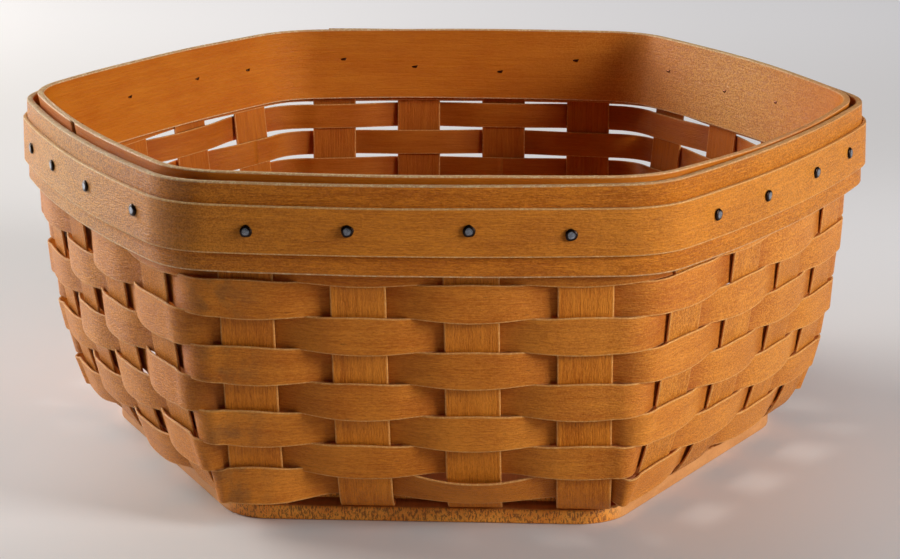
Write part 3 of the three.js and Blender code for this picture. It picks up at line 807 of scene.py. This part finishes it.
# Partly painted light: the grey crown is rubbed steel and partly a painted reflection of the soft light,
# and the dark rim is oxide and partly painted shade.
rubbed_and_reflection = patina.between(0.3, 0.7).mixed(paint(122, 126, 138), paint(164, 168, 178))
join(
    Base_Color=rust.mixed(worn_and_reflection.mixed(paint(44, 32, 26), rubbed_and_reflection), paint(96, 52, 26)),
    Roughness=patina * 0.2 + 0.12,
    Normal=scratch.bump(0.3, 0.0002),
)
for stake in range(around):
    chance = np.random.default_rng(900 + stake)
    side, number = divmod(stake, STAKES_PER_SIDE)
    along = (number - side_centre) * stake_pitch + TACK_NUDGES[side][number]
    length = trim_middle + TACK_LIFTS[side][number]
    point, out, across, rise, normal = (
        v[0] for v in wall_at(np.array([side]), np.array([along]), np.array([np.nan]), np.array([length]))
    )
    face = trim_seat(length) + TRIM_THICKNESS
    seat = point + out * face
    tip = -face - band_gap(length) - BAND_THICKNESS
    axes = np.stack([across, np.array([0, 0, 1.0]), out])
    tilt = chance.normal(0, 0.05, 2)
    turn = chance.uniform(0, math.pi)
    points, faces = [], []
    for share, lift, _ in HEAD_PROFILE:
        for step in range(HEAD_STEPS):
            angle = turn + 2 * math.pi * step / HEAD_STEPS
            uneven = 1 + 0.05 * math.sin(3 * angle + turn) + 0.03 * math.sin(5 * angle)
            x, y = (TACK_HEAD_RADIUS * share * uneven * f(angle) for f in (math.cos, math.sin))
            leaning = share * (x * tilt[0] + y * tilt[1])
            points.append((x, y, TACK_HEAD_HEIGHT * lift + leaning + TACK_HEAD_GAP))
    rows = len(HEAD_PROFILE)
    for i in range(rows - 1):
        for k in range(HEAD_STEPS):
            n = (k + 1) % HEAD_STEPS
            a, b = i * HEAD_STEPS, (i + 1) * HEAD_STEPS
            faces.append((a + k, a + n, b + n, b + k))
    faces.append(tuple((rows - 1) * HEAD_STEPS + k for k in range(HEAD_STEPS)))
    faces.append(tuple(range(HEAD_STEPS))[::-1])
    half = TACK_SHANK / 2
    quarters = [math.pi / 4 + k * math.pi / 2 for k in range(4)]
    ring = [(half * math.cos(a) * SHANK_CORNER, half * math.sin(a) * SHANK_CORNER) for a in quarters]
    shank = [(x, y, TACK_HEAD_GAP) for x, y in ring] + [(x, y, tip + 0.3) for x, y in ring]
    shank += [(x * 0.9 + 0.3, y * 0.9, tip - 0.2 - 0.2 * x / half) for x, y in ring]
    shank += [(TACK_CLINCH * 0.5, y * 0.7, tip - 0.25 + 0.3 * (x / half)) for x, y in ring]
    shank += [(TACK_CLINCH * 0.9, y * 0.3, tip + 0.1 + 0.1 * (x / half)) for x, y in ring]
    base = len(points)
    points += shank
    for i in range(len(shank) // 4 - 1):
        for k in range(4):
            n = (k + 1) % 4
            a, b = base + 4 * i, base + 4 * (i + 1)
            faces.append((a + n, a + k, b + k, b + n))
    faces.append(tuple(base + k for k in range(4)))
    faces.append(tuple(base + len(shank) - 4 + k for k in range(4))[::-1])
    placed = seat + np.array(points) @ axes
    worn_and_reflection = np.r_[np.repeat([shine for _, _, shine in HEAD_PROFILE], HEAD_STEPS), np.zeros(len(shank))]
    add_piece(
        f"rim_tack_{stake + 1:02d}", placed, faces, tack_steel, f"tack_{stake + 1:02d}",
        marks={"worn_and_reflection": worn_and_reflection, "rust": np.arange(len(placed)) >= base},
    )

# Studio, in metres: a plain pale floor between two soft lights, and the camera at the photograph's angle.
# The floor brightens towards the back and the sides like one before a lit backdrop, but only for the
# camera and in reflections.
FLOOR_REACH = 6.0
CAMERA_TURN = math.radians(3.70)
CAMERA_LIFT = math.radians(15.234)
CAMERA_ROLL = 0.0057
CAMERA_AWAY = 0.92182
CAMERA_TARGET = np.array([0, 0, 0.065])
SENSOR_WIDTH = 36
PICTURE_WIDTH = 900
LENS_PIXELS = 2338.4
SHIFT_PIXELS = (8.31, -19.68)

corners = [(-FLOOR_REACH, -FLOOR_REACH, 0), (FLOOR_REACH, -FLOOR_REACH, 0)]
corners += [(FLOOR_REACH, FLOOR_REACH, 0), (-FLOOR_REACH, FLOOR_REACH, 0)]
floor_mesh = bpy.data.meshes.new("floor")
floor_mesh.from_pydata(corners, [], [(0, 1, 2, 3)])
floor = bpy.data.objects.new("floor", floor_mesh)
bpy.context.scene.collection.objects.link(floor)
floor_paint, wire, join = new_finish(
    "floor_paint", Roughness=0.6, Base_Color=paint(222, 218, 216), Emission_Strength=1.0
)
spot = wire.node("TexCoord", out="Object")
across, back = spot.axis("X"), spot.axis("Y")
to_left = 0 - across
left = to_left.between(0.15, 0.42)
behind = back.between(-0.05, 0.4) * (0.2 - left * 0.1)
far_behind = back.between(0.5, 1.1) * (left * 0.04 + 0.15)
left_side = to_left.between(0.06, 0.16) * back.between(-0.25, -0.05) * (1 - back.between(0, 0.3)) * 0.17
right_side = across.between(0.1, 0.18) * (1 - back.between(0.2, 0.5)) * 0.07
seen = wire.node("LightPath", out="Is Camera Ray") + wire.node("LightPath", out="Is Glossy Ray")
glow = seen * (behind + far_behind + (left_side + right_side))
join(Emission_Color=glow.mixed(paint(0, 0, 0), paint(246, 247, 255)))
floor_mesh.materials.append(floor_paint)


def soft_light(name, place, size, power, colour=(1, 1, 1), target=(0, 0, 0.07)):
    lamp = bpy.data.lights.new(name, "AREA")
    lamp.shape = "RECTANGLE"
    lamp.size, lamp.size_y = size
    lamp.energy = power
    lamp.color = colour
    light = bpy.data.objects.new(name, lamp)
    light.location = place
    way = Vector(target) - Vector(place)
    light.rotation_euler = way.to_track_quat("-Z", "Y").to_euler()
    bpy.context.scene.collection.objects.link(light)


soft_light("right_softbox", place=(1.04, -0.48, 0.47), size=(0.42, 0.42), power=12)
soft_light(
    "left_softbox", place=(-1.363, 0.695, 0.62), size=(1.2, 0.8), power=33, colour=(1.0, 0.98, 0.93)
)
world = bpy.data.worlds.new("studio")
world.use_nodes = True
world.node_tree.nodes["Background"].inputs["Color"].default_value = (1, 1, 1, 1)
world.node_tree.nodes["Background"].inputs["Strength"].default_value = 0.03
bpy.context.scene.world = world

back = np.array([
    math.sin(CAMERA_TURN) * math.cos(CAMERA_LIFT),
    -math.cos(CAMERA_TURN) * math.cos(CAMERA_LIFT),
    math.sin(CAMERA_LIFT),
])
level = np.array([math.cos(CAMERA_TURN), math.sin(CAMERA_TURN), 0])
upright = np.cross(back, level)
right = math.cos(CAMERA_ROLL) * level - math.sin(CAMERA_ROLL) * upright
upward = math.sin(CAMERA_ROLL) * level + math.cos(CAMERA_ROLL) * upright
lens = bpy.data.cameras.new("camera")
lens.sensor_fit = "HORIZONTAL"
lens.sensor_width = SENSOR_WIDTH
lens.lens = LENS_PIXELS / PICTURE_WIDTH * SENSOR_WIDTH
lens.shift_x, lens.shift_y = (pixels / PICTURE_WIDTH for pixels in SHIFT_PIXELS)
camera = bpy.data.objects.new("camera", lens)
matrix = np.eye(4)
matrix[:3, 0], matrix[:3, 1], matrix[:3, 2] = right, upward, back
matrix[:3, 3] = CAMERA_TARGET + back * CAMERA_AWAY
camera.matrix_world = Matrix(matrix.tolist())
bpy.context.scene.collection.objects.link(camera)
bpy.context.scene.camera = camera
bpy.context.scene.view_settings.view_transform = "Standard"
